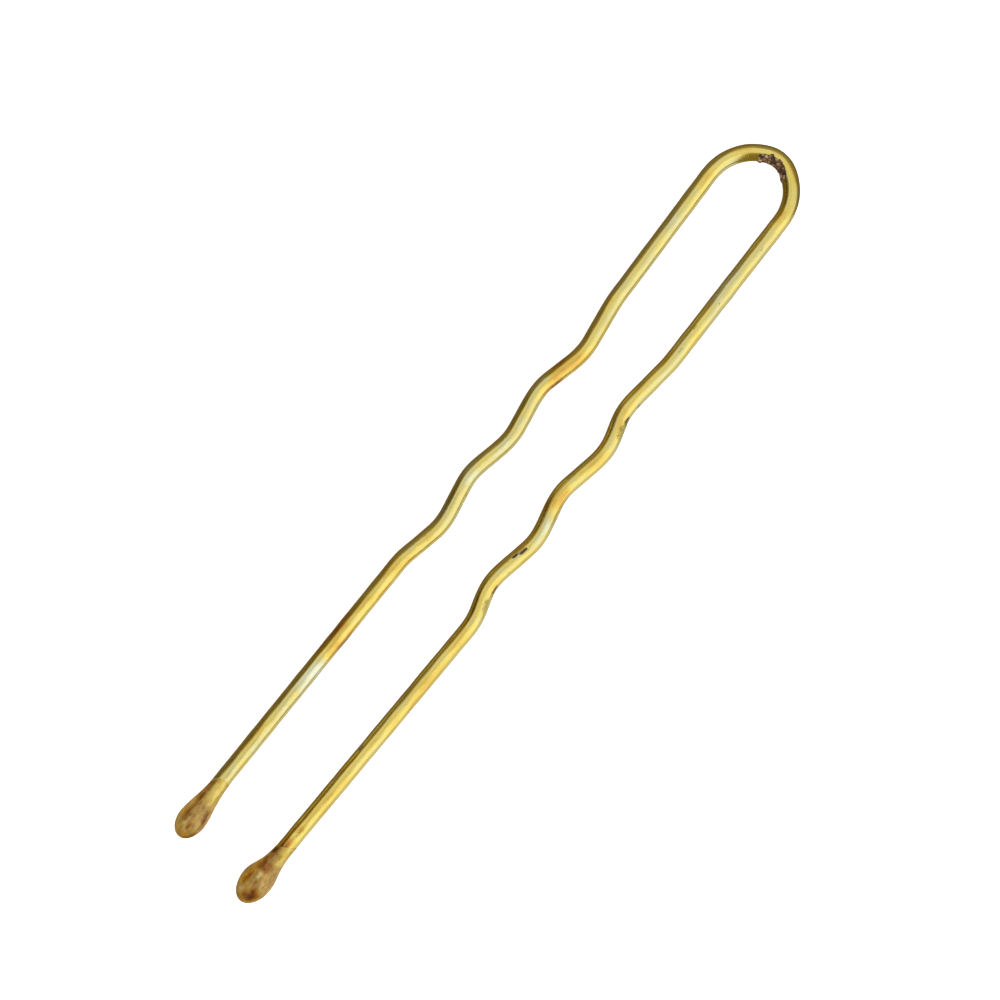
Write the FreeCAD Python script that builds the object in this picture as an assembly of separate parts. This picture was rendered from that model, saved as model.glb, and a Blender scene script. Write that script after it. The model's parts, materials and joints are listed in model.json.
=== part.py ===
import FreeCAD, Part
import math
import os

# Waved U-shaped hairpin: one round wire bent to a crown and two waved legs, with a dipped drop on each end.
# +X points to the crown, +Y to the left leg and +Z up, with the origin on the ground under the middle.
# A station is a distance from the crown's outer face, and a reach a distance from the pin's middle line.

# Wire and overall size, in millimetres and degrees like all sizes here
OVERALL_LENGTH = 65.0
WIRE_DIAMETER = 1.22

# Crown: a tight apex bend between two slopes, each run out into its leg by one wide shoulder bend
CROWN_APEX_RADIUS = 1.9
CROWN_APEX_OFFSET = 0.19
LEFT_SLOPE_DEG = 21.8
RIGHT_SLOPE_DEG = 26.8
LEFT_SHOULDER_REACH = 3.09
RIGHT_SHOULDER_REACH = 2.97

# Waves: each corner lies a share of the wave's length along it and a share of the depth inside its reach
WAVE_DEPTH = 0.75
WAVE_BEND_RADIUS = 4.8
BEND_ROOM_SHARE = 0.48
LEFT_WAVE_STATION = 15.7
LEFT_WAVE_LENGTH = 23.4
LEFT_WAVE_REACH = 3.1
LEFT_WAVE_SHARES = (
    (0.0, 0.56), (0.177, 1.38), (0.342, 0.1), (0.516, 1.04), (0.674, -0.02), (0.843, 1.04), (1.0, 0.02),
)
RIGHT_WAVE_STATION = 16.6
RIGHT_WAVE_LENGTH = 22.75
RIGHT_WAVE_REACH = 3.5
RIGHT_WAVE_SHARES = (
    (0.0, 0.5), (0.208, 1.18), (0.332, -0.09), (0.529, 1.05), (0.684, -0.11), (0.88, 1.02), (1.0, -0.19),
)

# Flex line: a leg springs about a rocker on its shoulder, which stands for the bending of the bare wire
FLEX_STATION = 8.4
ROCKER_MARGIN = 0.4
ROCKER_CLEARANCE = 0.03

# Dipped tips: a thin lip creeps up the wire, flares into a ball and closes round the cropped wire end
LIP_STEP = 0.02
LIP_THICKNESS = 0.04
TIP_CAP = 0.8
ROUND_END_SHARE = 0.56
LEFT_TIP_SETBACK = 0.86
LEFT_TIP_LENGTH = 4.95
LEFT_TIP_DIAMETER = 2.04
LEFT_TIP_BALL = 3.45
LEFT_FLARE_SHARES = (0.75, 0.45)
LEFT_TIP_SAG = 0.08
LEFT_NECK_REACH = 3.27
RIGHT_TIP_LENGTH = 5.0
RIGHT_TIP_DIAMETER = 2.3
RIGHT_TIP_BALL = 3.2
RIGHT_FLARE_SHARES = (0.68, 0.6)
RIGHT_TIP_SAG = 0.07
RIGHT_NECK_REACH = 3.18

# Extra length of a blank past the cut that trims it
OVERRUN = 0.5

WIRE_RADIUS = WIRE_DIAMETER / 2
ROCKER_RADIUS = WIRE_RADIUS + ROCKER_MARGIN
WIRE_HEIGHT = max(LEFT_TIP_DIAMETER, RIGHT_TIP_DIAMETER) / 2
UP = FreeCAD.Vector(0, 0, 1)


def place(station, y):
    """Point on the wire's middle plane at a distance from the crown's outer face."""
    return FreeCAD.Vector(OVERALL_LENGTH / 2 - station, y, WIRE_HEIGHT)


def toward(start, end):
    """Unit direction from one point to another."""
    return (end - start).normalize()


def on_line(start, end, station):
    """Point of the straight line through two points at a given station."""
    share = (OVERALL_LENGTH / 2 - station - start.x) / (end.x - start.x)
    return start + (end - start) * share


def half_turn(before, corner, after):
    """Half of the angle by which a path turns at a corner."""
    return toward(before, corner).getAngle(toward(corner, after)) / 2


def fitting_radius(before, corner, after, radius):
    """Bend radius at a corner, no larger than its shorter run leaves room for."""
    run = min(corner.distanceToPoint(before), corner.distanceToPoint(after))
    return min(radius, BEND_ROOM_SHARE * run / math.tan(half_turn(before, corner, after)))


def bent_path(points, radii):
    """Straight runs between the points, rounded at each inner point by a tangent arc of its radius."""
    edges = []
    last = points[0]
    for before, corner, after, radius in zip(points, points[1:], points[2:], radii):
        angle = half_turn(before, corner, after)
        reach = radius * math.tan(angle)
        start = corner + toward(corner, before) * reach
        end = corner + toward(corner, after) * reach
        inward = toward(corner, (start + end) / 2)
        middle = corner + inward * (radius / math.cos(angle) - radius)
        if start.distanceToPoint(last) > Part.Precision.confusion():
            edges.append(Part.LineSegment(last, start).toShape())
        edges.append(Part.Arc(start, middle, end).toShape())
        last = end
    edges.append(Part.LineSegment(last, points[-1]).toShape())
    return Part.Wire(edges)


def round_wire(path, points):
    """Solid round wire along a path that starts at the first of its points."""
    section = Part.Wire(Part.makeCircle(WIRE_RADIUS, points[0], toward(points[0], points[1])))
    return path.makePipeShell([section], True, False)


def rocker(pivot, radius):
    """Upright cylinder about the flex line at a pivot."""
    drop = UP * (WIRE_RADIUS + OVERRUN)
    return Part.makeCylinder(radius, 2 * drop.Length, pivot - drop, UP)


def wave_corners(station, length, reach, side, shares):
    """Corners of one leg's wave, on the side +1 for the left leg and -1 for the right one."""
    return [place(station + along * length, side * (reach - depth * WAVE_DEPTH)) for along, depth in shares]


def crown_corners(left_wave, right_wave):
    """Left shoulder, apex and right shoulder corners of the crown's centre line, and their bend radii.

    The apex bend's outer side touches the crown's face, its slopes run down to the shoulders' reach, and
    each shoulder bend starts where the apex bend ends and runs out on the line to its leg's first corner.
    """
    left_slope = math.radians(LEFT_SLOPE_DEG)
    right_slope = math.radians(RIGHT_SLOPE_DEG)
    lean = (left_slope - right_slope) / 2
    peak = CROWN_APEX_RADIUS / math.cos((left_slope + right_slope) / 2)
    centre = place(WIRE_RADIUS + CROWN_APEX_RADIUS, -CROWN_APEX_OFFSET)
    apex = centre + FreeCAD.Vector(math.cos(lean), math.sin(lean), 0) * peak
    left_run = (LEFT_SHOULDER_REACH - apex.y) / math.cos(left_slope)
    right_run = (RIGHT_SHOULDER_REACH + apex.y) / math.cos(right_slope)
    left = apex + FreeCAD.Vector(-math.sin(left_slope), math.cos(left_slope), 0) * left_run
    right = apex - FreeCAD.Vector(math.sin(right_slope), math.cos(right_slope), 0) * right_run
    apex_reach = CROWN_APEX_RADIUS * math.tan(half_turn(left, apex, right))
    left_radius = (left_run - apex_reach) / math.tan(half_turn(left_wave[0], left, apex))
    right_radius = (right_run - apex_reach) / math.tan(half_turn(right_wave[0], right, apex))
    return [left, apex, right], [left_radius, CROWN_APEX_RADIUS, right_radius]


def crown(corners, radii, left_pivot, right_pivot):
    """Bow of wire between the two flex lines, with a hollow end for each leg's rocker."""
    points = [left_pivot] + corners + [right_pivot]
    bow = round_wire(bent_path(points, radii), points)
    for pivot in (left_pivot, right_pivot):
        bow = bow.cut(rocker(pivot, ROCKER_RADIUS + ROCKER_CLEARANCE))
    return bow


def leg(shoulder, pivot, corners, neck, end_station):
    """Waved wire from its rounded rocker end at the pivot to its cropped end inside the tip."""
    forward = toward(pivot, shoulder)
    nose = pivot + forward * (ROCKER_RADIUS + OVERRUN)
    points = [nose] + corners + [on_line(corners[-1], neck, end_station)]
    radii = [fitting_radius(*three, WAVE_BEND_RADIUS) for three in zip(points, points[1:], points[2:])]
    wire = round_wire(bent_path(points, radii), points)
    blank = Part.makeCylinder(WIRE_RADIUS + OVERRUN, ROCKER_RADIUS + 2 * OVERRUN, pivot, forward)
    return wire.cut(blank.cut(rocker(pivot, ROCKER_RADIUS)))


def dipped_tip(wire, side, before, neck, length, diameter, ball, flare_shares, sag):
    """Drop turned about the wire's line, tilted so that its ball sags inwards, and bored by the wire.

    Its outline runs from the neck up a thin bevelled lip, along the flare to the ball's widest ring and
    round the end to the axis.
    """
    tilt = math.degrees(math.atan2(sag, ball))
    axis = FreeCAD.Rotation(UP, side * tilt).multVec(toward(before, neck))
    radius = diameter / 2
    lip_radius = WIRE_RADIUS + LIP_STEP + LIP_THICKNESS
    round_end = length - ball

    def at(along, out):
        return neck + axis * along + UP * out

    def curve(*poles):
        bezier = Part.BezierCurve()
        bezier.setPoles(list(poles))
        return bezier.toShape()

    first_share, second_share = flare_shares
    foot = at(0, WIRE_RADIUS + LIP_STEP)
    lip = at(LIP_THICKNESS, lip_radius)
    top = at(ball, radius)
    end = at(length, 0)
    outline = [
        Part.LineSegment(neck, foot).toShape(),
        Part.LineSegment(foot, lip).toShape(),
        curve(lip, at(second_share * ball, lip_radius), at(first_share * ball, radius), top),
        curve(top, at(ball + ROUND_END_SHARE * round_end, radius), at(length, ROUND_END_SHARE * radius), end),
        Part.LineSegment(end, neck).toShape(),
    ]
    drop = Part.Face(Part.Wire(outline)).revolve(neck, axis, 360)
    return drop.cut(wire)


left_wave = wave_corners(LEFT_WAVE_STATION, LEFT_WAVE_LENGTH, LEFT_WAVE_REACH, 1, LEFT_WAVE_SHARES)
right_wave = wave_corners(RIGHT_WAVE_STATION, RIGHT_WAVE_LENGTH, RIGHT_WAVE_REACH, -1, RIGHT_WAVE_SHARES)

left_end = OVERALL_LENGTH - LEFT_TIP_SETBACK
right_end = OVERALL_LENGTH
left_neck = place(left_end - LEFT_TIP_LENGTH, LEFT_NECK_REACH)
right_neck = place(right_end - RIGHT_TIP_LENGTH, -RIGHT_NECK_REACH)

bow_corners, bow_radii = crown_corners(left_wave, right_wave)
left_shoulder, right_shoulder = bow_corners[0], bow_corners[-1]
left_pivot = on_line(left_shoulder, left_wave[0], FLEX_STATION)
right_pivot = on_line(right_shoulder, right_wave[0], FLEX_STATION)

pieces = {"crown": crown(bow_corners, bow_radii, left_pivot, right_pivot)}
pieces["left_leg"] = leg(left_shoulder, left_pivot, left_wave, left_neck, left_end - TIP_CAP)
pieces["right_leg"] = leg(right_shoulder, right_pivot, right_wave, right_neck, right_end - TIP_CAP)
pieces["left_tip"] = dipped_tip(
    pieces["left_leg"], 1, left_wave[-1], left_neck,
    LEFT_TIP_LENGTH, LEFT_TIP_DIAMETER, LEFT_TIP_BALL, LEFT_FLARE_SHARES, LEFT_TIP_SAG,
)
pieces["right_tip"] = dipped_tip(
    pieces["right_leg"], -1, right_wave[-1], right_neck,
    RIGHT_TIP_LENGTH, RIGHT_TIP_DIAMETER, RIGHT_TIP_BALL, RIGHT_FLARE_SHARES, RIGHT_TIP_SAG,
)

os.makedirs("parts", exist_ok=True)
for name, solid in pieces.items():
    solid.exportStep(f"parts/{name}.step")
    print(name, "solids", len(solid.Solids), "valid", solid.isValid(), "volume", round(solid.Volume, 4))
print("flex lines at", left_pivot, right_pivot)
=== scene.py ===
# Looks of a waved hairpin: lacquered wire bent to a crown and two legs, with a resin drop on each end
import json
import math

import bpy
import numpy as np
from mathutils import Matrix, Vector


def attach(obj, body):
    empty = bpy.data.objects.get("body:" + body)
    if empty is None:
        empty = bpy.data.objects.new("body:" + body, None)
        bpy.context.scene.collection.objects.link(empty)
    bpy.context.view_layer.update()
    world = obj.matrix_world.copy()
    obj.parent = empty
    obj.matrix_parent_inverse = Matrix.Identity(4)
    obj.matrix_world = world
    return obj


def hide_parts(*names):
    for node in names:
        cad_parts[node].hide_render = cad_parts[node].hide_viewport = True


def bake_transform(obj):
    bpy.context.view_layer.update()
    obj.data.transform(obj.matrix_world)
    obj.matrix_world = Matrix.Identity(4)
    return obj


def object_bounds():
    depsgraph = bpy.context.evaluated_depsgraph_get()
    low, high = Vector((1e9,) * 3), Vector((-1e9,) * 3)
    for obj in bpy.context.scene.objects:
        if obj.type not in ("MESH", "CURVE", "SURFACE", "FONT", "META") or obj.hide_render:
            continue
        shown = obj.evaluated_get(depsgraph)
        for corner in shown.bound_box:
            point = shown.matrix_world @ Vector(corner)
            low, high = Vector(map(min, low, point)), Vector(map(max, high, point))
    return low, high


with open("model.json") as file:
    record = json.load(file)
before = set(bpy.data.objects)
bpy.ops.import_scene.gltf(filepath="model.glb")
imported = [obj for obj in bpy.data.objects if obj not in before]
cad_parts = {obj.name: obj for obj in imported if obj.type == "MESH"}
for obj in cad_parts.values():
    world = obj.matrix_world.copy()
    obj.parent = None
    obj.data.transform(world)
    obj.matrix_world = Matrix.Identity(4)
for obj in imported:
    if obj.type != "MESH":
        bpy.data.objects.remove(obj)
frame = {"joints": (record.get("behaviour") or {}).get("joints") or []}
cad_low, cad_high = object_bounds()

# Shapes are worked out in millimetres in the part's frame: +X to the crown, +Y to the left leg and +Z up.
# A station is a distance from the crown's outer face, and a point in plan is the complex number x + iy.
MM = 0.001
LEFT, RIGHT = 1, -1
CROWN_FACE = cad_high.x / MM
FLEX_LINES = {joint["child"]: [part / MM for part in joint["pos_m"]] for joint in frame["joints"]}
WIRE_HEIGHT = FLEX_LINES["left_leg"][2]

# Wire: corners of its centre line from the left end round the crown to the right end, as
# (station, y, bend radius at the corner)
WIRE_RADIUS = 0.61
WAVE_BEND = 4.8
WIRE_CORNERS = (
    (63.34, 3.308, 0),
    (39.1, 3.085, WAVE_BEND), (35.43, 2.32, WAVE_BEND), (31.47, 3.115, WAVE_BEND),
    (27.77, 2.32, WAVE_BEND), (23.7, 3.025, WAVE_BEND), (19.84, 2.065, WAVE_BEND),
    (15.7, 2.68, WAVE_BEND),
    (1.776, 3.09, 3.96), (0.427, -0.281, 1.9), (1.786, -2.97, 3.54),
    (16.6, -3.125, WAVE_BEND),
    (21.33, -2.615, WAVE_BEND), (24.15, -3.568, WAVE_BEND), (28.63, -2.713, WAVE_BEND),
    (32.16, -3.583, WAVE_BEND), (36.62, -2.735, WAVE_BEND), (39.35, -3.643, WAVE_BEND),
    (64.2, -3.086, 0),
)
# Spread of the bell that eases a bend into the straight runs, and where the bell is cut off
BEND_EASE = 0.25
EASE_REACH = 3 * BEND_EASE
# Points on an arc, distance between the wire's rings and points on a ring
ARC_POINTS = 60
RING_STEP = 0.055
WIRE_SIDES = 64
# Slow swells of the wire's radius, as (height, pace along the wire, count round it, phase)
WIRE_SWELLS = ((0.004, 1.3, 2, 0), (0.003, 2.3, -3, 1), (0.003, 3.7, 1, 2))

# The crown's piece ends on the straight shoulders.
SEAM_STATION = 5.0

# Bake maps: strips that a piece of wire is folded into, the margin round a strip and the share inside it
CROWN_FOLDS, LEG_FOLDS = 2, 4
MAP_MARGIN = 0.02
MAP_INNER = 1 - 2 * MAP_MARGIN
# Faces that meet at a sharper angle keep a hard edge
SHARP_EDGE = math.radians(60)

# Photograph's framing: straight down, with the image's right and up in plan, and its centre and width.
# Then come the lens and its nearest and farthest distance in metres.
IMAGE_RIGHT = 0.62276 - 0.78241j
IMAGE_UP = 1j * IMAGE_RIGHT
IMAGE_CENTRE = 0.92 + 0.26j
IMAGE_WIDTH = 70.33
LENS_MM = 100.0
LENS_NEAR, LENS_FAR = 0.01, 10


def linear(code):
    """Linear colour of an sRGB hex value."""
    parts = np.array([int(code[i:i + 2], 16) for i in (1, 3, 5)]) / 255
    low, high = parts / 12.92, ((parts + 0.055) / 1.055) ** 2.4
    return (*np.where(parts <= 0.04045, low, high), 1.0)


def plan(station, y):
    """Point in plan at a distance from the crown's outer face."""
    return complex(CROWN_FACE - station, y)


def bent_line(corners):
    """Centre line in plan: straight between the corners, with a tangent arc of its radius at each.

    The arcs are eased into the runs by a running mean with a bell-shaped weight, as a wire bends."""
    points = [plan(station, y) for station, y, _ in corners]
    runs = [[points[0]]]
    for before, corner, after, (_, _, radius) in zip(points, points[1:], points[2:], corners[1:]):
        way_in = (corner - before) / abs(corner - before)
        turn = np.angle((after - corner) / way_in)
        start = corner - way_in * radius * math.tan(abs(turn) / 2)
        spoke = -1j * np.sign(turn) * radius * way_in
        runs.append(start - spoke + spoke * np.exp(1j * np.linspace(0, turn, ARC_POINTS)))
    runs.append([points[-1]])
    rough = np.concatenate(runs)
    length = np.append(0, np.cumsum(abs(np.diff(rough))))
    line = np.interp(np.arange(0, length[-1], RING_STEP), length, rough)
    reach = np.arange(-EASE_REACH, EASE_REACH + RING_STEP, RING_STEP)
    weight = np.exp(-(reach / BEND_EASE) ** 2 / 2)
    pad = len(reach) // 2
    ends = (2 * line[0] - line[pad:0:-1], 2 * line[-1] - line[-2:-pad - 2:-1])
    return np.convolve(np.concatenate((ends[0], line, ends[1])), weight / weight.sum(), "valid")


# The centre line, its direction and the way outwards, and each point's length along it, station and side
LINE = bent_line(WIRE_CORNERS)
LINE_WAY = np.gradient(LINE) / abs(np.gradient(LINE))
LINE_OUT = 1j * LINE_WAY
LINE_AT = np.append(0, np.cumsum(abs(np.diff(LINE))))
LINE_STATION = CROWN_FACE - LINE.real
LINE_SIDE = np.sign(LINE.imag)


def on_line(side, station):
    """Index of the centre line at a station on a side."""
    return int(np.argmin(abs(LINE_STATION - station) + CROWN_FACE * (LINE_SIDE != side)))


def on_wire(marks):
    """Marks of both sides with their station changed to a length along the centre line."""
    return [(LINE_AT[on_line(side, station)], *rest) for side in marks for station, *rest in marks[side]]


def fields(along, angle, radius, marks):
    """Sum of marks on a round piece: each is (place along, share across, half length, half width, amount).

    A mark is full at its place, seen from above at that share of the radius outwards, and falls off with
    the fourth power of the distance along the piece and the square of the distance round it."""
    total = np.zeros(np.broadcast(along, angle).shape)
    for place, across, length, width, amount in marks:
        gap = np.angle(np.exp(1j * (angle - math.asin(across)))) * radius
        total += amount * np.exp(-((along - place) / length) ** 4 - (gap / width) ** 2)
    return total


def swells(along, angle, waves):
    """Sum of sine waves on a round piece: each is (height, pace along, count round, phase)."""
    total = 0
    for height, pace, count, phase in waves:
        total = total + height * np.sin(along * pace + count * angle + phase)
    return total


def grid_corners(rows, sides):
    """Row and side of each corner of a grid's quads, with the first side counted again after the last."""
    row, side = np.meshgrid(np.arange(rows - 1), np.arange(sides), indexing="ij")
    corner_rows = np.stack((row, row + 1, row + 1, row), axis=-1).reshape(-1, 4)
    corner_sides = np.stack((side, side, side + 1, side + 1), axis=-1).reshape(-1, 4)
    return corner_rows, corner_sides


def bake_map(rows, sides, folds):
    """Place on the bake map of each corner of each face: the grid unrolled, with its length folded into
    strips that lie one above another. The fan round each end's pole lies in the margin there."""
    corner_rows, corner_sides = grid_corners(rows, sides)
    per_strip = math.ceil((rows - 1) / folds)
    strip = corner_rows[:, :1] // per_strip
    first_pole = -MAP_MARGIN / 2
    last_row = (rows - 1 - (folds - 1) * per_strip) / per_strip
    last_pole = last_row + MAP_MARGIN / 2
    step = np.arange(sides)[:, None]
    spans = (
        ((corner_rows - strip * per_strip) / per_strip, strip, corner_sides / sides),
        (np.array((first_pole, 0, 0)), 0, (step + (0.5, 0, 1)) / sides),
        (np.array((last_pole, last_row, last_row)), folds - 1, (step + (0.5, 1, 0)) / sides),
    )
    maps = []
    for run, fold, turn in spans:
        across, up = MAP_MARGIN + MAP_INNER * run, (fold + MAP_MARGIN + MAP_INNER * turn) / folds
        maps.append(np.stack(np.broadcast_arrays(across, up), axis=-1).reshape(-1, 2))
    return np.concatenate(maps)


def put_in_scene(name, data):
    """New object at the origin."""
    made = bpy.data.objects.new(name, data)
    bpy.context.scene.collection.objects.link(made)
    return made


def build(name, grid, material, folds=1, **attributes):
    """Object from a grid of points in millimetres: rows of closed rings, with a pole in the middle of each
    end ring. A pole's attributes are the mean of its ring's."""
    rows, sides = grid.shape[:2]
    poles = grid[[0, -1]].mean(axis=1)
    places = np.concatenate((grid.reshape(-1, 3), poles)) * MM
    corner_rows, corner_sides = grid_corners(rows, sides)
    quads = corner_rows * sides + corner_sides % sides
    step = np.arange(sides)
    following = (step + 1) % sides
    first = np.stack((np.full(sides, rows * sides), step, following), axis=-1)
    last = np.stack((np.full(sides, rows * sides + 1), following, step), axis=-1)
    last[:, 1:] += (rows - 1) * sides
    mesh = bpy.data.meshes.new(name)
    mesh.from_pydata(places, [], quads.tolist() + first.tolist() + last.tolist())
    mesh.shade_smooth()
    mesh.set_sharp_from_angle(angle=SHARP_EDGE)
    bake = mesh.uv_layers.new(name="OFBake")
    bake.uv.foreach_set("vector", bake_map(rows, sides, folds).astype(np.float32).ravel())
    for label, values in attributes.items():
        kind, field = ("FLOAT_VECTOR", "vector") if values.ndim == 3 else ("FLOAT", "value")
        at_poles = values[[0, -1]].mean(axis=1).reshape(2, -1)
        full = np.concatenate((values.reshape(rows * sides, -1), at_poles)).astype(np.float32)
        mesh.attributes.new(label, kind, "POINT").data.foreach_set(field, full.ravel())
    mesh.materials.append(material)
    return put_in_scene(name, mesh)


def empty_tree(owner):
    """Node tree of a material or a world, emptied."""
    owner.use_nodes = True
    owner.node_tree.nodes.clear()
    return owner.node_tree


def add(tree, kind, inputs=(), **settings):
    """Adds a node of a kind with its settings, and links or sets its inputs by name or number.

    A node that is given as an input stands for the first of its outputs that is in use."""
    made = tree.nodes.new("ShaderNode" + kind)
    for name, value in settings.items():
        if name == "stops":
            elements = made.color_ramp.elements
            while len(elements) < len(value):
                elements.new(1.0)
            for element, (place, code) in zip(elements, value):
                element.position = place
                element.color = linear(code)
        else:
            setattr(made, name, value)
    for name, value in dict(inputs).items():
        if isinstance(value, bpy.types.Node):
            value = next(output for output in value.outputs if output.enabled)
        if isinstance(value, bpy.types.NodeSocket):
            tree.links.new(value, made.inputs[name])
        else:
            made.inputs[name].default_value = value
    return made


# Pattern of the lacquered wire, as (length, width, height): draw lines, coarser than the real ones so that
# they show, and pools where the lacquer gathered. Specks of wear are as wide as they are long.
DRAW_LINES = (7.0, 0.2, 0.2)
LACQUER_POOLS = (2.0, 0.7, 0.7)
WEAR_SPECK = 0.15
# How much of the pattern goes into the lacquer's thickness, the grime, the roughness and the relief
POOLS_IN_LACQUER = 0.25
LINES_IN_LACQUER = 0.1
SPECKS_IN_GRIME = 0.15
SPECKS_IN_ROUGHNESS = 0.08
SPECKS_IN_RELIEF = 0.08
RELIEF_DEPTH = 0.005
# Lacquer from bare steel over even gold to burnt, and the dirt on it. The dirt's colour also paints dark
# reflection lines on the left leg.
LACQUER_COLOURS = (
    (0.0, "#E6E6C4"), (0.25, "#DFD590"), (0.5, "#EFD973"), (0.68, "#E7C55A"), (0.84, "#DCA24A"),
    (1.0, "#7A4E24"),
)
LACQUER_ROUGHNESS = 0.22
LACQUER_COAT = 0.35
DIRT_AND_DARK_LINE_COLOUR = "#523C1E"
DIRT_ROUGHNESS = 0.4
DIRT_START, DIRT_FULL = 0.35, 0.8


def gold_lacquered_drawn_steel():
    """Steel wire, drawn through a die and dipped in gold lacquer: mirror-like along fine draw lines, paler
    where the lacquer is thin and the steel shows, and orange to brown where it is thick or tarnished."""
    material = bpy.data.materials.new("gold_lacquered_drawn_steel")
    tree = empty_tree(material)
    rest = add(tree, "Attribute", attribute_name="rest").outputs["Vector"]
    lacquer = add(tree, "Attribute", attribute_name="lacquer").outputs["Fac"]
    grime = add(tree, "Attribute", attribute_name="grime").outputs["Fac"]
    lines_at = add(tree, "Mapping", {"Vector": rest, "Scale": [1 / size for size in DRAW_LINES]})
    lines = add(tree, "TexNoise", {"Vector": lines_at, "Scale": 1.0, "Detail": 2.0}, normalize=False)
    pools_at = add(tree, "Mapping", {"Vector": rest, "Scale": [1 / size for size in LACQUER_POOLS]})
    pools = add(tree, "TexNoise", {"Vector": pools_at, "Scale": 1.0, "Detail": 4.0}, normalize=False)
    specks = add(tree, "TexNoise", {"Vector": rest, "Scale": 1 / WEAR_SPECK, "Detail": 3.0},
                 normalize=False)
    pooled = add(tree, "Math", {0: pools, 1: POOLS_IN_LACQUER, 2: lacquer}, operation="MULTIPLY_ADD")
    thickness = add(tree, "Math", {0: lines, 1: LINES_IN_LACQUER, 2: pooled}, operation="MULTIPLY_ADD")
    colour = add(tree, "ValToRGB", {"Fac": thickness}, stops=LACQUER_COLOURS)
    # Grime and the painted dark reflection lines, with the specks, turn the lacquer to the dirt's colour
    soiled_and_dark_lines = add(tree, "Math", {0: specks, 1: SPECKS_IN_GRIME, 2: grime}, operation="MULTIPLY_ADD")
    dirt_and_dark_lines = add(tree, "MapRange", {"Value": soiled_and_dark_lines, "From Min": DIRT_START, "From Max": DIRT_FULL})
    tint = add(tree, "Mix", {0: dirt_and_dark_lines, 6: colour, 7: linear(DIRT_AND_DARK_LINE_COLOUR)}, data_type="RGBA")
    metal = add(tree, "Math", {0: 1.0, 1: dirt_and_dark_lines}, operation="SUBTRACT")
    worn = add(tree, "Math", {0: specks, 1: SPECKS_IN_ROUGHNESS, 2: LACQUER_ROUGHNESS},
               operation="MULTIPLY_ADD")
    rough = add(tree, "Math", {0: dirt_and_dark_lines, 1: DIRT_ROUGHNESS, 2: worn}, operation="MULTIPLY_ADD")
    relief = add(tree, "Math", {0: specks, 1: SPECKS_IN_RELIEF, 2: lines}, operation="MULTIPLY_ADD")
    bump = add(tree, "Bump", {"Height": relief, "Strength": 1.0, "Distance": RELIEF_DEPTH * MM})
    coat = add(tree, "Math", {0: metal, 1: LACQUER_COAT}, operation="MULTIPLY")
    shader = add(tree, "BsdfPrincipled", {
        "Base Color": tint, "Metallic": metal, "Roughness": rough, "Normal": bump,
        "Coat Weight": coat, "Coat Roughness": 0.12,
    })
    add(tree, "OutputMaterial", {"Surface": shader})
    return material


# Pattern of the resin: clouds of pigment, and fibres drawn out along the wire, as (length, width, height)
PIGMENT_CLOUD = 0.45
RESIN_FIBRES = (0.7, 0.14, 0.14)
# How much of the pattern goes into tone and amber, and depths of the relief and of the light's reach
CLOUDS_IN_TONE = 0.18
FIBRES_IN_TONE = 0.13
CLOUDS_IN_AMBER = 0.35
CLOUD_DEPTH = 0.01
LIGHT_REACH = 0.3
# Resin from dark to pale: where it is tan, where it is burnt, and where the wire glints through the film
TAN_COLOURS = (
    (0.0, "#5A3404"), (0.3, "#86581A"), (0.5, "#A87E38"), (0.7, "#C8A656"), (0.85, "#DDC272"),
    (1.0, "#F2EACC"),
)
BURNT_COLOURS = ((0.0, "#4E2600"), (0.3, "#844800"), (0.5, "#B0700E"), (0.7, "#D09216"), (1.0, "#E8B850"))
GLINT_COLOURS = ((0.0, "#4A2C08"), (0.25, "#A07A24"), (0.5, "#D8B44C"), (0.7, "#E8CE64"), (1.0, "#F4E8A8"))
RESIN_METAL, FILM_METAL = 0.2, 0.65


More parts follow.
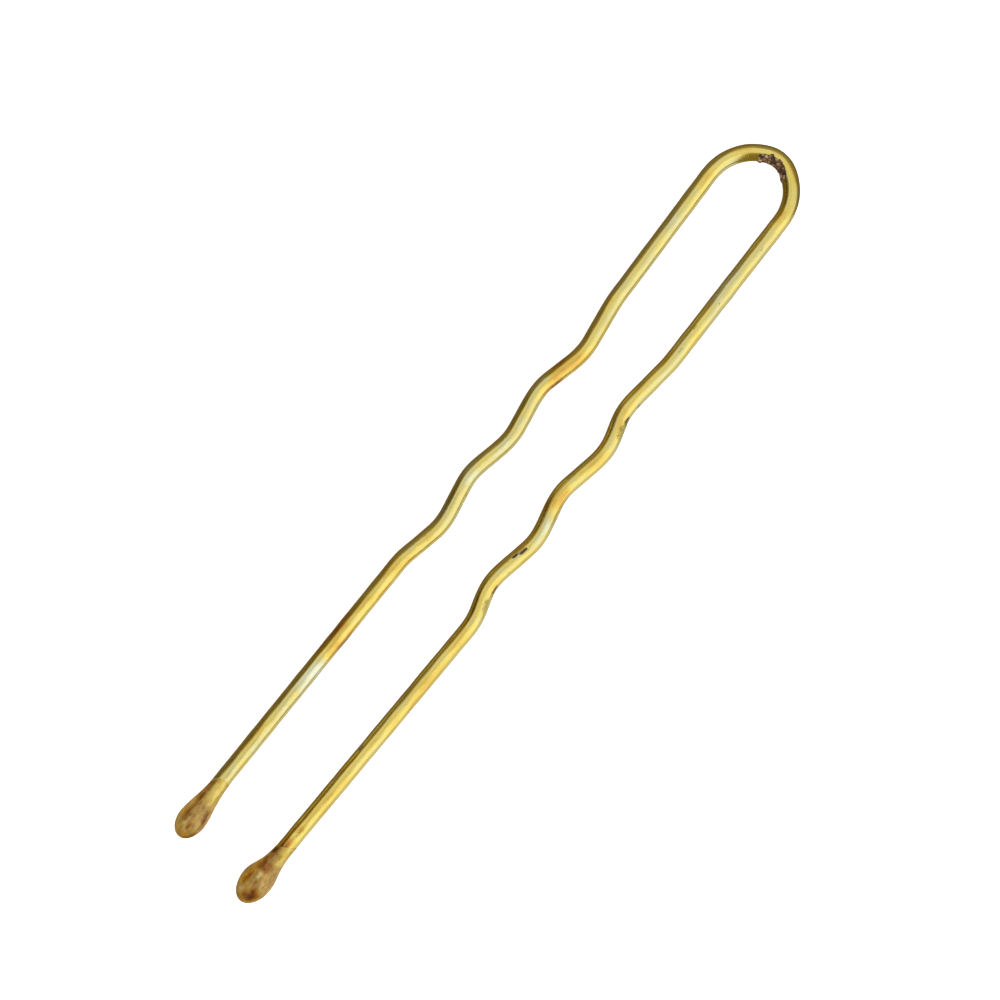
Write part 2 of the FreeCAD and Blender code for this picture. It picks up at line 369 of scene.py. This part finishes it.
def amber_dipped_resin():
    """Clear brown resin, dipped over gold wire and left to run: a glossy skin over streaks of amber, tan
    and burnt brown, with the gold wire's glint coming through the thin film by the neck. Its tone and amber
    also carry painted highlights and painted light in the left drop's rim."""
    material = bpy.data.materials.new("amber_dipped_resin")
    tree = empty_tree(material)
    place = add(tree, "TexCoord").outputs["Object"]
    # Tone and amber hold the resin's streaks and also painted highlights and painted rim light
    tone = add(tree, "Attribute", attribute_name="tone").outputs["Fac"]
    amber = add(tree, "Attribute", attribute_name="amber").outputs["Fac"]
    film = add(tree, "Attribute", attribute_name="film").outputs["Fac"]
    clouds = add(tree, "TexNoise", {
        "Vector": place, "Scale": 1 / (PIGMENT_CLOUD * MM), "Detail": 4.0, "Distortion": 0.6,
    }, normalize=False)
    fibres_at = add(tree, "Mapping", {"Vector": place, "Scale": [1 / (size * MM) for size in RESIN_FIBRES]})
    fibres = add(tree, "TexNoise", {"Vector": fibres_at, "Scale": 1.0, "Detail": 3.0}, normalize=False)
    mottled = add(tree, "Math", {0: clouds, 1: CLOUDS_IN_TONE, 2: tone}, operation="MULTIPLY_ADD")
    shade = add(tree, "Math", {0: fibres, 1: FIBRES_IN_TONE, 2: mottled}, operation="MULTIPLY_ADD")
    tan, burnt, glint = (
        add(tree, "ValToRGB", {"Fac": shade}, stops=colours)
        for colours in (TAN_COLOURS, BURNT_COLOURS, GLINT_COLOURS)
    )
    hue = add(tree, "Math", {0: clouds, 1: CLOUDS_IN_AMBER, 2: amber}, operation="MULTIPLY_ADD",
              use_clamp=True)
    deep = add(tree, "Mix", {0: hue, 6: tan, 7: burnt}, data_type="RGBA")
    colour = add(tree, "Mix", {0: film, 6: deep, 7: glint}, data_type="RGBA")
    metal = add(tree, "Math", {0: film, 1: FILM_METAL, 2: RESIN_METAL}, operation="MULTIPLY_ADD")
    bump = add(tree, "Bump", {"Height": clouds, "Strength": 0.3, "Distance": CLOUD_DEPTH * MM})
    shader = add(tree, "BsdfPrincipled", {
        "Base Color": colour, "Metallic": metal, "Roughness": 0.32, "Normal": bump,
        "Subsurface Weight": 0.15, "Subsurface Scale": LIGHT_REACH * MM,
        "Subsurface Radius": (1.0, 0.5, 0.2), "Coat Weight": 0.15, "Coat Roughness": 0.1,
    })
    add(tree, "OutputMaterial", {"Surface": shader})
    return material


# Pattern of the residue: its grit's size and depth, how much of it goes into the shade, and the colours
# from a crack to a grain's top, painted dark as shade in a crack and pale as a highlight on a grain's top
RESIDUE_GRIT = 0.06
GRIT_DEPTH = 0.01
GRIT_IN_SHADE = 0.35
RESIDUE_COLOURS_WITH_PAINTED_LIGHT = ((0.0, "#2C180A"), (0.25, "#704A2A"), (0.6, "#B8926A"), (1.0, "#F0DCBC"))


def dried_brown_residue():
    """Dried residue, cracked into grains: dull brown tones that differ from grain to grain, painted paler
    on the grain tops as a highlight and darker in the cracks as shade.
    """
    material = bpy.data.materials.new("dried_brown_residue")
    tree = empty_tree(material)
    grain = add(tree, "Attribute", attribute_name="grain").outputs["Fac"]
    place = add(tree, "TexCoord").outputs["Object"]
    grit = add(tree, "TexNoise", {
        "Vector": place, "Scale": 1 / (RESIDUE_GRIT * MM), "Detail": 3.0,
    }, normalize=False)
    shade = add(tree, "Math", {0: grit, 1: GRIT_IN_SHADE, 2: grain}, operation="MULTIPLY_ADD")
    colour = add(tree, "ValToRGB", {"Fac": shade}, stops=RESIDUE_COLOURS_WITH_PAINTED_LIGHT)
    bump = add(tree, "Bump", {"Height": grit, "Strength": 0.6, "Distance": GRIT_DEPTH * MM})
    shader = add(tree, "BsdfPrincipled", {"Base Color": colour, "Roughness": 0.6, "Normal": bump})
    add(tree, "OutputMaterial", {"Surface": shader})
    return material


def white_card():
    """Matt white card that glows a little, as on a lit table, so that it shows no hard shadow."""
    material = bpy.data.materials.new("white_card")
    tree = empty_tree(material)
    shader = add(tree, "BsdfPrincipled", {
        "Base Color": linear("#F6F6F4"), "Roughness": 0.9,
        "Emission Color": linear("#FFFFFF"), "Emission Strength": 0.88,
    })
    add(tree, "OutputMaterial", {"Surface": shader})
    return material


# Lacquer thickness along each leg, as (station, share): 0 is bare steel, 0.5 even gold and 1 burnt
LACQUER_SHARES = {
    LEFT: (
        (0, 0.5), (3, 0.48), (5, 0.4), (8, 0.34), (15, 0.36), (19, 0.42), (24, 0.42), (30, 0.32),
        (33, 0.36), (38, 0.48), (42, 0.56), (48, 0.58), (51, 0.42), (54, 0.4), (57, 0.32), (60, 0.25),
    ),
    RIGHT: (
        (0, 0.5), (3, 0.48), (5, 0.36), (8, 0.28), (12, 0.32), (17, 0.42), (26, 0.5), (34, 0.46),
        (40, 0.48), (48, 0.5), (60, 0.52),
    ),
}

# Marks on each leg from the crown down, as (station, share across, half length, half width, amount).
# Tarnish adds to the lacquer's thickness and bare spots take from it. Grime lies on top, and its two long
# thin marks on the left leg's middle are a painted dark reflection of a wave. A dent's amount is its depth.
TARNISH = {
    LEFT: (
        (1.35, -0.3, 0.5, 0.3, 0.15), (5.2, 0.1, 0.7, 0.25, 0.25), (20.2, -0.4, 0.8, 0.5, 0.1),
        (21.4, -0.3, 1.6, 0.5, 0.31), (21.4, 0.75, 1.3, 0.35, 0.16), (23.0, -0.85, 1.1, 0.28, 0.4),
        (46.0, 0.8, 2.9, 0.3, 0.27), (46.4, -0.95, 1.9, 0.22, 0.32), (53.5, 0.7, 4.5, 0.3, 0.1),
        (55.1, 0.4, 1.1, 0.2, 0.25),
    ),
    RIGHT: (
        (2.6, -0.75, 1.6, 0.3, 0.2), (3.8, -0.2, 0.6, 0.3, 0.1), (20.9, 0.2, 0.7, 0.3, 0.18),
        (22.7, 0.35, 0.8, 0.3, 0.15), (23.7, -0.7, 1.1, 0.25, 0.28), (28.7, 0.1, 1.0, 0.6, 0.15),
        (29.9, -0.8, 0.7, 0.25, 0.15), (33.0, -0.62, 3.2, 0.25, 0.15), (38.2, 0.35, 0.8, 0.3, 0.12),
        (58.5, -0.05, 0.35, 0.25, 0.25), (59.6, -0.2, 0.7, 0.3, 0.1), (59.8, -0.3, 0.7, 0.25, 0.25),
        (60.0, 0.1, 0.9, 0.5, 0.17),
    ),
}
BARE = {
    LEFT: (
        (3.3, -0.8, 0.9, 0.22, -0.3), (18.3, -0.2, 0.4, 0.25, -0.15), (23.0, 0.5, 0.3, 0.18, -0.35),
        (26.4, 0.0, 0.5, 0.35, -0.25), (31.6, 0.1, 0.9, 0.6, -0.12), (48.6, -0.75, 0.8, 0.3, -0.25),
        (49.65, -0.3, 1.45, 0.6, -0.48),
    ),
    RIGHT: ((31.5, 0.2, 1.25, 0.38, -0.4), (33.9, -0.2, 0.35, 0.1, -0.4)),
}
GRIME_AND_DARK_REFLECTION_LINES = {
    LEFT: (
        (27.8, -0.95, 0.4, 0.1, 0.75), (29.4, -0.92, 0.22, 0.16, 0.5), (29.4, 0.1, 0.16, 0.12, 0.35),
        # The long thin marks at 33.6 and 37.5 are painted dark reflection lines of a wave, not grime
        (30.5, -0.92, 0.18, 0.16, 0.5), (32.8, -0.92, 0.18, 0.16, 0.5), (33.6, 0.12, 1.1, 0.07, 0.55),
        (37.5, 0.4, 1.9, 0.08, 0.6), (58.8, 0.9, 0.35, 0.2, 0.45),
    ),
    RIGHT: (
        (5.2, 0.92, 1.2, 0.14, 0.42), (6.4, 0.22, 0.25, 0.15, 0.5), (10.4, 0.9, 0.7, 0.16, 0.45),
        (11.25, 0.25, 0.08, 0.06, 0.8), (13.6, -0.3, 0.4, 0.09, 0.5), (15.5, 0.0, 0.35, 0.11, 0.5),
        (20.3, 0.92, 0.25, 0.2, 0.7), (21.7, 0.8, 0.35, 0.22, 0.9), (22.65, 0.52, 0.75, 0.36, 0.53),
        (28.9, 0.94, 0.75, 0.16, 0.6), (30.3, 0.72, 0.7, 0.26, 0.52), (33.35, -0.12, 0.4, 0.12, 0.85),
        (34.0, -0.45, 1.2, 0.18, 0.45), (34.05, -0.38, 0.22, 0.09, 0.75), (35.1, 0.6, 0.07, 0.06, 0.7),
        (36.8, 0.82, 0.5, 0.22, 0.9), (38.1, 0.57, 0.7, 0.36, 0.52), (51.3, -0.72, 0.35, 0.2, 0.75),
        (54.0, -0.72, 0.45, 0.2, 0.65),
    ),
}
DENTS = {
    LEFT: (
        (23.5, -0.97, 0.4, 0.25, 0.03), (27.8, -0.97, 0.35, 0.2, 0.05), (29.4, -0.97, 0.2, 0.15, 0.03),
        (30.5, -0.97, 0.2, 0.15, 0.03), (32.8, -0.97, 0.15, 0.15, 0.03),
    ),
    RIGHT: (
        (20.3, 0.97, 0.2, 0.15, 0.03), (21.7, 0.95, 0.4, 0.25, 0.05), (28.9, 0.97, 0.7, 0.25, 0.03),
        (33.35, -0.1, 0.36, 0.1, 0.06), (34.05, -0.38, 0.22, 0.1, 0.04), (36.9, 0.95, 0.5, 0.25, 0.05),
    ),
}


def wire_piece(name, start, stop, folds, material):
    """Wire between two indices of the centre line: a point lies at radius r(s, a) from the line, up by
    r cos a and outwards by r sin a, where s runs along the line and a round it.

    The radius is the wire's, less the dents, with slow swells of a few thousandths of a millimetre."""
    along = LINE_AT[start:stop, None]
    angle = np.linspace(0, 2 * np.pi, WIRE_SIDES, endpoint=False)[None, :]
    dents = fields(along, angle, WIRE_RADIUS, on_wire(DENTS))
    radius = WIRE_RADIUS + swells(along, angle, WIRE_SWELLS) - dents
    out = LINE[start:stop, None] + LINE_OUT[start:stop, None] * radius * np.sin(angle)
    grid = np.stack((out.real, out.imag, WIRE_HEIGHT + radius * np.cos(angle)), axis=-1)
    across, up = WIRE_RADIUS * np.sin(angle), WIRE_RADIUS * np.cos(angle)
    rest = np.stack(np.broadcast_arrays(along, across, up), axis=-1)
    station = LINE_STATION[start:stop]
    left, right = (np.interp(station, *np.transpose(LACQUER_SHARES[side])) for side in (LEFT, RIGHT))
    even = np.where(LINE_SIDE[start:stop] == LEFT, left, right)[:, None]
    lacquer = even + fields(along, angle, WIRE_RADIUS, on_wire(TARNISH) + on_wire(BARE))
    # Grime, and painted dark reflection lines along the left leg's middle
    grime = fields(along, angle, WIRE_RADIUS, on_wire(GRIME_AND_DARK_REFLECTION_LINES))
    return build(name, grid, material, folds, rest=rest, lacquer=lacquer, grime=grime)


# Drops: the lip's radius, and the rings that close it inside the wire, as (distance from the neck, radius)
LIP_RADIUS = 0.63
LIP_FOOT = ((0.05, WIRE_RADIUS / 2), (0.0, WIRE_RADIUS - 0.04))
# Rings on the flare and on the round end, points on a ring, and the pull that makes the end round
FLARE_ROWS = 90
END_ROWS = 50
DROP_SIDES = 96
ROUND_END_SHARE = 0.56
# Swells of the skin in shares of the radius, as (height, pace along the drop, count round it, phase)
DROP_SWELL_SHARES = ((0.014, 1.4, 2, 0), (0.01, -2.3, 3, 1))
# Marks in the resin from the neck down, as (distance from the neck, share across, half length, half width,
# amount). Tone runs from dark to pale and amber from tan to orange. Film is where the wire shows through.
# Some tone and amber marks are painted light: a highlight on the left lip, warm light gathered in the left
# drop's outer rim, and a highlight with less amber on the right drop.
PLAIN_TONE = 0.64
PLAIN_AMBER = 0.17
LEFT_TONE_AND_PAINTED_LIGHT = (
    # The first mark is a painted highlight along the lip
    (0.0, -0.2, 0.07, 0.6, 0.4), (0.45, 0.75, 0.35, 0.16, -0.25), (1.14, -0.45, 1.1, 0.4, 0.1),
    (1.19, 0.92, 0.45, 0.16, -0.2), (1.44, 0.6, 0.9, 0.16, -0.2), (2.74, 0.5, 1.0, 0.16, -0.2),
    # The bright mark at 3.44 by the outer rim is painted light gathered in the resin
    (2.89, -0.7, 0.45, 0.16, -0.3), (3.34, -0.85, 0.4, 0.14, -0.25), (3.44, 0.78, 0.9, 0.22, 0.18),
    (3.59, 0.4, 0.35, 0.16, -0.2), (3.84, -0.6, 0.4, 0.25, 0.1), (3.84, -0.5, 0.4, 0.25, 0.08),
    (4.04, -0.12, 0.3, 0.1, -0.25), (4.09, 0.27, 0.25, 0.15, 0.2), (4.54, -0.85, 0.35, 0.2, -0.3),
    (4.69, 0.6, 0.3, 0.25, 0.16), (4.79, -0.27, 0.2, 0.18, 0.03), (4.94, -0.6, 0.18, 0.14, -0.25),
)
LEFT_AMBER_AND_PAINTED_RIM_LIGHT = (
    # The marks at 1.84 and 3.44 by the outer rim are painted warm light gathered in the resin
    (1.84, 0.8, 1.0, 0.2, 0.45), (2.24, 0.5, 1.2, 0.16, 0.2), (3.44, 0.75, 0.55, 0.25, 0.8),
    (3.84, -0.6, 0.5, 0.25, 0.15), (4.04, -0.12, 0.3, 0.12, 0.5), (4.69, 0.6, 0.3, 0.25, 0.3),
    (4.79, -0.27, 0.22, 0.2, 0.9),
)
LEFT_FILM = ((0.3, 0.3, 0.6, 0.3, 0.3), (0.75, -0.45, 1.35, 0.55, 0.95))
RIGHT_TONE_AND_PAINTED_HIGHLIGHT = (
    (0.2, 0.2, 0.35, 0.25, 0.08), (0.4, -0.8, 0.3, 0.2, -0.42), (0.6, -0.2, 0.9, 0.35, -0.1),
    (0.9, -0.85, 0.9, 0.2, -0.12), (0.9, -0.7, 0.8, 0.2, -0.15), (0.9, 0.75, 0.6, 0.3, 0.05),
    (1.7, 0.15, 0.3, 0.25, -0.1), (1.75, -0.6, 0.35, 0.25, -0.18), (1.95, -0.15, 0.35, 0.3, -0.18),
    # The pale mark at 2.6, share -0.15, is a painted highlight
    (2.6, -0.33, 0.15, 0.07, -0.25), (2.6, -0.15, 0.3, 0.13, 0.3), (2.65, 0.28, 0.3, 0.1, 0.12),
    (3.1, -0.6, 0.4, 0.2, -0.08), (3.1, 0.42, 0.35, 0.12, 0.15), (3.2, -0.05, 0.25, 0.12, -0.06),
    (3.5, 0.58, 0.3, 0.1, 0.1), (3.65, 0.18, 0.3, 0.12, -0.06), (3.75, -0.8, 0.4, 0.2, 0.1),
    (3.9, -0.35, 0.45, 0.2, 0.08), (4.05, 0.4, 0.45, 0.35, -0.32), (4.2, -0.55, 0.35, 0.25, 0.2),
    (4.2, -0.1, 0.3, 0.15, -0.1), (4.4, 0.1, 0.3, 0.25, -0.24),
)
RIGHT_AMBER_AND_PAINTED_HIGHLIGHT = (
    (1.75, -0.6, 0.4, 0.25, 0.7), (1.95, -0.2, 0.45, 0.35, 0.9), (2.4, -0.7, 0.4, 0.2, 0.4),
    # The mark at 2.6 takes amber out of the painted highlight there
    (2.6, -0.15, 0.3, 0.2, -0.2), (3.1, -0.63, 0.45, 0.22, 1.2), (3.2, -0.05, 0.25, 0.12, 0.7),
    (3.55, -0.65, 0.35, 0.2, 0.6), (3.65, 0.18, 0.3, 0.12, 0.7), (3.8, -0.85, 0.5, 0.25, 0.5),
    (4.15, 0.3, 0.55, 0.5, 1.1),
)
RIGHT_FILM = ((0.2, 0.2, 0.45, 0.3, 0.5), (0.5, 0.6, 1.05, 0.35, 0.9))
# Each drop: its neck in plan, its sag inwards at the widest ring, its length, the widest ring's radius and
# place, the flare's pulls at the lip and at the widest ring, and the lip's creep by the sine's square, the
# sine and 1
LEFT_DROP = {
    "neck": plan(58.95, 3.27), "sag": 0.08, "length": 5.19, "widest": 1.02, "widest_at": 3.69,
    "pull_shares": (0.45, 0.75), "creep": (0.44, 0.23, -0.05), "marks": (LEFT_TONE_AND_PAINTED_LIGHT, LEFT_AMBER_AND_PAINTED_RIM_LIGHT, LEFT_FILM),
}
RIGHT_DROP = {
    "neck": plan(60.0, -3.18), "sag": 0.07, "length": 5.0, "widest": 1.15, "widest_at": 3.2,
    "pull_shares": (0.6, 0.68), "creep": (0, -0.38, 0), "marks": (RIGHT_TONE_AND_PAINTED_HIGHLIGHT, RIGHT_AMBER_AND_PAINTED_HIGHLIGHT, RIGHT_FILM),
}


def curve(points, share):
    """Cubic curve through the first and last of four points, pulled by the middle two."""
    t = share[:, None]
    p = np.array(points, dtype=float)
    return (1 - t) ** 3 * p[0] + 3 * (1 - t) ** 2 * t * p[1] + 3 * (1 - t) * t ** 2 * p[2] + t ** 3 * p[3]


def drop_piece(name, side, material, neck, sag, length, widest, widest_at, pull_shares, creep, marks):
    """Resin drop: an outline carried round an axis, which leaves the neck along the wire and sags inwards.

    The outline is a cubic flare from the lip to the widest ring and a cubic round end down to the axis. The
    lip creeps along the wire by a polynomial of the sine of the angle round it. The skin swells a little on
    the flare and the end."""
    end_way = -LINE_WAY[0] if side == LEFT else LINE_WAY[-1]
    way = end_way * np.exp(1j * side * math.atan2(sag, widest_at))
    out = 1j * side * -way
    lip_pull, widest_pull = (share * widest_at for share in pull_shares)
    flare = curve(((0, LIP_RADIUS), (lip_pull, LIP_RADIUS), (widest_pull, widest), (widest_at, widest)),
                  np.linspace(0, 1, FLARE_ROWS))
    cap = length - widest_at
    end_pulls = (widest_at + ROUND_END_SHARE * cap, widest), (length, ROUND_END_SHARE * widest)
    end = curve(((widest_at, widest), *end_pulls, (length, 0)), np.linspace(0, 1, END_ROWS)[1:-1])
    along, radius = np.concatenate((LIP_FOOT, flare, end)).T[:, :, None]
    angle = np.linspace(0, 2 * np.pi, DROP_SIDES, endpoint=False)[None, :]
    slid = along + np.polyval(creep, np.sin(angle)) * np.clip(1 - along / widest_at, 0, 1) ** 2
    rise, fall = np.clip(along / widest_at, 0, 1), np.clip((length - along) / cap, 0, 1)
    skin = radius * (1 + swells(along, angle, DROP_SWELL_SHARES) * rise * fall)
    places = neck + way * slid + out * skin * np.sin(angle)
    grid = np.stack((places.real, places.imag, WIRE_HEIGHT + skin * np.cos(angle)), axis=-1)
    if side == LEFT:
        # The left drop's rings run the other way round, so that its faces point outwards
        grid, angle = grid[:, ::-1], angle[:, ::-1]
    # Tone and amber marks include painted highlights and painted rim light
    tone, amber, film = (fields(along, angle, radius, kind) for kind in marks)
    return build(name, grid, material, tone=PLAIN_TONE + tone, amber=PLAIN_AMBER + amber,
                 film=np.clip(film, 0, 1))


# Residue caked inside the crown: where it starts and ends, its upper edge, as (share of the way, degrees
# outwards from the top of the wire), and its lower edge in degrees
RESIDUE_ENDS = (plan(1.3, 1.12), plan(1.66, -1.44))
RESIDUE_EDGE = (
    (0, -24), (0.1, -12), (0.22, -3), (0.3, 2), (0.42, -8), (0.65, -10), (0.76, -14), (0.86, -24),
    (0.94, -43), (1, -60),
)
RESIDUE_UNDER = -115
# The patch reaches past the outline along the wire, in shares of the way, and round it, in degrees
PATCH_SHARES = (-0.08, 1.08)
PATCH_DEGREES = (40, -135)
PATCH_ROWS = 200
PATCH_COLUMNS = 90
# Grains: a net of them that is stretched along the wire, how many are kept and how far each is moved
GRAIN_SEED = 7
GRAIN_SIZE = 0.2
GRAIN_STRETCH = 1.4
GRAINS_KEPT_SHARE = 0.75
GRAIN_SHIFT_SHARE = 0.45
# Their tones, which fall along the way, their steepest lean and what it lifts, and the cracks between them.
# The lift and the cracks raise and lower the crust and also paint it paler and darker, as light and shade.
GRAIN_TONES = (0.1, 0.95)
TONE_FALL = 0.2
LEAN_MOST = 0.4
LIFT_SHARE = 0.7
CRACK_WIDTH = 0.07
# On each grain the outline is up to so many degrees off, or at an end so much of the way for each degree
EDGE_RAGGED = 6.0
END_RAGGED_SHARE = 0.003
# Heights of the crust and of its grains over the wire, its depth outside the outline, and the clumps at its
# ends, as (share of the way, half width, height)
CRUST_BASE = 0.02
CRUST_GRAIN = 0.05
CRUST_SUNK = 0.035
CRUST_CLUMPS = ((0.05, 0.05, 0.06), (0.92, 0.05, 0.06))


def crust_grains(along, round_it):
    """The nearest grain at each point: how much nearer it is than the next one, which is 0 in a crack, its
    tone, its lean's height there and how far it moves the outline.

    The grains' centres are a net, moved about by a seeded random part of a grain, with some left out."""
    net = np.stack(np.meshgrid(np.arange(along.min(), along.max(), GRAIN_SIZE),
                               np.arange(round_it.min(), round_it.max(), GRAIN_SIZE)), axis=-1)
    net = net.reshape(-1, 2)
    random = np.random.default_rng(GRAIN_SEED)
    net = net[random.uniform(size=len(net)) < GRAINS_KEPT_SHARE]
    centre = net + random.uniform(-GRAIN_SHIFT_SHARE, GRAIN_SHIFT_SHARE, net.shape) * GRAIN_SIZE
    edge = random.uniform(-EDGE_RAGGED, EDGE_RAGGED, len(net))
    tone = random.uniform(*GRAIN_TONES, len(net))
    lean = random.uniform(-LEAN_MOST, LEAN_MOST, net.shape)
    gaps = np.hypot(along[..., None] - centre[:, 0], round_it[..., None] - centre[:, 1])
    mine = gaps.argmin(axis=-1)
    ranked = np.sort(gaps, axis=-1)
    leaning = (along - centre[mine, 0]) * lean[mine, 0] + (round_it - centre[mine, 1]) * lean[mine, 1]
    return ranked[..., 1] - ranked[..., 0], tone[mine], leaning, edge[mine]


def residue_piece(name, material):
    """Crust on the wire's inner half: each point has the height of its nearest grain, less towards the
    crack midway to the next one, and each grain leans its own way.

    Outside the outline, which is a few degrees further out or in on each grain, the crust lies under the
    wire's surface. The patch is closed by the same patch further down."""
    ends = [int(np.argmin(abs(LINE - place))) for place in RESIDUE_ENDS]
    share = np.linspace(*PATCH_SHARES, PATCH_ROWS)[:, None]
    index = ends[0] + share[:, 0] * (ends[1] - ends[0])
    steps = np.arange(len(LINE))
    line, out, at = (np.interp(index, steps, kind)[:, None] for kind in (LINE, LINE_OUT, LINE_AT))
    degrees = np.linspace(*PATCH_DEGREES, PATCH_COLUMNS)[None, :] + 0 * share
    angle = np.radians(degrees)
    to_crack, tone, leaning, ragged = crust_grains(at / GRAIN_STRETCH, angle * WIRE_RADIUS)
    lift = 1 + LIFT_SHARE * np.clip(leaning / CRUST_GRAIN, -1, 1)
    # A grain's height, which also paints it: pale where its lean lifts it and dark in the crack, as light
    # and shade
    top = np.clip(to_crack / CRACK_WIDTH, 0, 1) * (tone - TONE_FALL * share) * lift
    edge = np.interp(share, *np.transpose(RESIDUE_EDGE)) + ragged
    ragged_share = share + ragged * END_RAGGED_SHARE
    within = (ragged_share > 0) & (ragged_share < 1) & (degrees < edge) & (degrees > RESIDUE_UNDER)
    clumps = sum(height * np.exp(-((share - place) / half) ** 2) for place, half, height in CRUST_CLUMPS)
    crust = CRUST_BASE + CRUST_GRAIN * top + clumps * (angle < 0)
    height = np.where(within, crust, -CRUST_SUNK)
    height[[0, -1]] = height[:, [0, -1]] = -CRUST_SUNK
    # Grain tone with painted light: pale on the tops and shaded in the cracks
    grain = np.where(within, top, 0)
    under = np.full_like(angle, WIRE_RADIUS - 2 * CRUST_SUNK)
    radius = np.concatenate((WIRE_RADIUS + height, under), axis=1)
    angle = np.concatenate((angle, angle[:, ::-1]), axis=1)
    places = line + out * radius * np.sin(angle)
    grid = np.stack((places.real, places.imag, WIRE_HEIGHT + radius * np.cos(angle)), axis=-1)[:, ::-1]
    return build(name, grid, material, grain=np.concatenate((grain, 0 * grain), axis=1)[:, ::-1])


gold = gold_lacquered_drawn_steel()
resin = amber_dipped_resin()

left_seam, right_seam = on_line(LEFT, SEAM_STATION), on_line(RIGHT, SEAM_STATION)
crown_wire = wire_piece("crown_wire", left_seam, right_seam + 1, CROWN_FOLDS, gold)
left_wire = wire_piece("left_leg_wire", 0, left_seam + 1, LEG_FOLDS, gold)
right_wire = wire_piece("right_leg_wire", right_seam, len(LINE), LEG_FOLDS, gold)
left_drop = drop_piece("left_tip_drop", LEFT, resin, **LEFT_DROP)
right_drop = drop_piece("right_tip_drop", RIGHT, resin, **RIGHT_DROP)
crown_residue = residue_piece("crown_residue", dried_brown_residue())

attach(crown_wire, "crown")
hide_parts("crown")
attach(crown_residue, "crown")
for wire, drop, body, tip in (
    (left_wire, left_drop, "left_leg", "left_tip"), (right_wire, right_drop, "right_leg", "right_tip"),
):
    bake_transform(wire)
    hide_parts(body)
    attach(drop, body)
    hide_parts(tip)

# Floor: half its width in metres
FLOOR_HALF = 3.0


def floor():
    """Square of card that meets the crown and the fatter drop from below, so it tilts by half a degree."""
    low_tip, low_crown = WIRE_HEIGHT - RIGHT_DROP["widest"], WIRE_HEIGHT - WIRE_RADIUS
    slope = (low_crown - low_tip) / (2 * CROWN_FACE)
    level = (low_crown + low_tip) / 2 * MM
    corners = FLOOR_HALF * np.array(((-1, -1), (1, -1), (1, 1), (-1, 1)))
    mesh = bpy.data.meshes.new("floor")
    mesh.from_pydata([(x, y, level + slope * x) for x, y in corners], [], [(0, 1, 2, 3)])
    mesh.materials.append(white_card())
    made = put_in_scene("floor", mesh)
    made.visible_glossy = False


# Studio, painted in layers over a dim warm room. A layer's directions are each an angle in the image from
# its right and a tilt from straight up. Then come the cosines where it starts and is full, how it is laid,
# and its colour.
ROOM = (0.25, 0.19, 0.07, 1)
STUDIO_LAYERS = (
    # The large soft light over the right, and its brighter half
    (((-20, 35),), -0.03, 0.33, "MIX", (0.87, 0.87, 0.87, 1)),
    (((-38, 90), (-104, 90)), 0.01, 0.17, "MULTIPLY", (1.42, 1.42, 1.42, 1)),
    # Dark stands to the right and at the top
    (((28, 92),), 0.78, 0.85, "MIX", (0.3, 0.28, 0.18, 1)),
    (((65, 95),), 0.7, 0.8, "MIX", (0.3, 0.28, 0.18, 1)),
    # The table below, and its lit part to the right
    (((0, 180),), -0.35, 0.25, "MIX", (0.2, 0.16, 0.1, 1)),
    (((-55, 118),), 0.76, 0.88, "MIX", (0.74, 0.74, 0.74, 1)),
    # The room's darkest corner at the left, and a stand at the foot
    (((190, 80),), 0.63, 0.85, "MIX", (0.08, 0.06, 0.02, 1)),
    (((211, 90), (340, 90)), 0.0, 0.08, "MIX", (0.24, 0.19, 0.06, 1)),
    # The dark spot of the lens overhead
    (((150, 10),), 0.975, 0.995, "MULTIPLY", (0.8, 0.8, 0.8, 1)),
)


def studio_light():
    """World whose light changes smoothly with direction: each layer is laid on the ones before it by a
    smooth step of the least of the cosines between a ray and the layer's directions."""
    world = bpy.data.worlds.new("studio")
    bpy.context.scene.world = world
    tree = empty_tree(world)
    ray = add(tree, "TexCoord").outputs["Generated"]
    light = ROOM
    for ways, start, full, laid, colour in STUDIO_LAYERS:
        least = 1.0
        for azimuth, tilt in np.radians(ways):
            flat = np.exp(1j * azimuth) * IMAGE_RIGHT * math.sin(tilt)
            way = (flat.real, flat.imag, math.cos(tilt))
            cosine = add(tree, "VectorMath", {0: ray, 1: way}, operation="DOT_PRODUCT")
            least = add(tree, "Math", {0: cosine, 1: least}, operation="MINIMUM")
        cover = add(tree, "MapRange", {"Value": least, "From Min": start, "From Max": full},
                    interpolation_type="SMOOTHSTEP")
        light = add(tree, "Mix", {0: cover, 6: light, 7: colour}, data_type="RGBA", blend_type=laid)
    shade = add(tree, "Background", {"Color": light})
    add(tree, "OutputWorld", {"Surface": shade})


def camera():
    """Long lens straight above the image's centre, turned so that the image's up is up."""
    lens = bpy.data.cameras.new("camera")
    lens.lens = LENS_MM
    lens.clip_start, lens.clip_end = LENS_NEAR, LENS_FAR
    made = put_in_scene("camera", lens)
    height = WIRE_HEIGHT + IMAGE_WIDTH * LENS_MM / lens.sensor_width
    made.location = Vector((IMAGE_CENTRE.real, IMAGE_CENTRE.imag, height)) * MM
    made.rotation_euler = (0, 0, -math.atan2(IMAGE_UP.real, IMAGE_UP.imag))
    bpy.context.scene.camera = made


floor()
studio_light()
camera()
bpy.context.scene.view_settings.view_transform = "Standard"
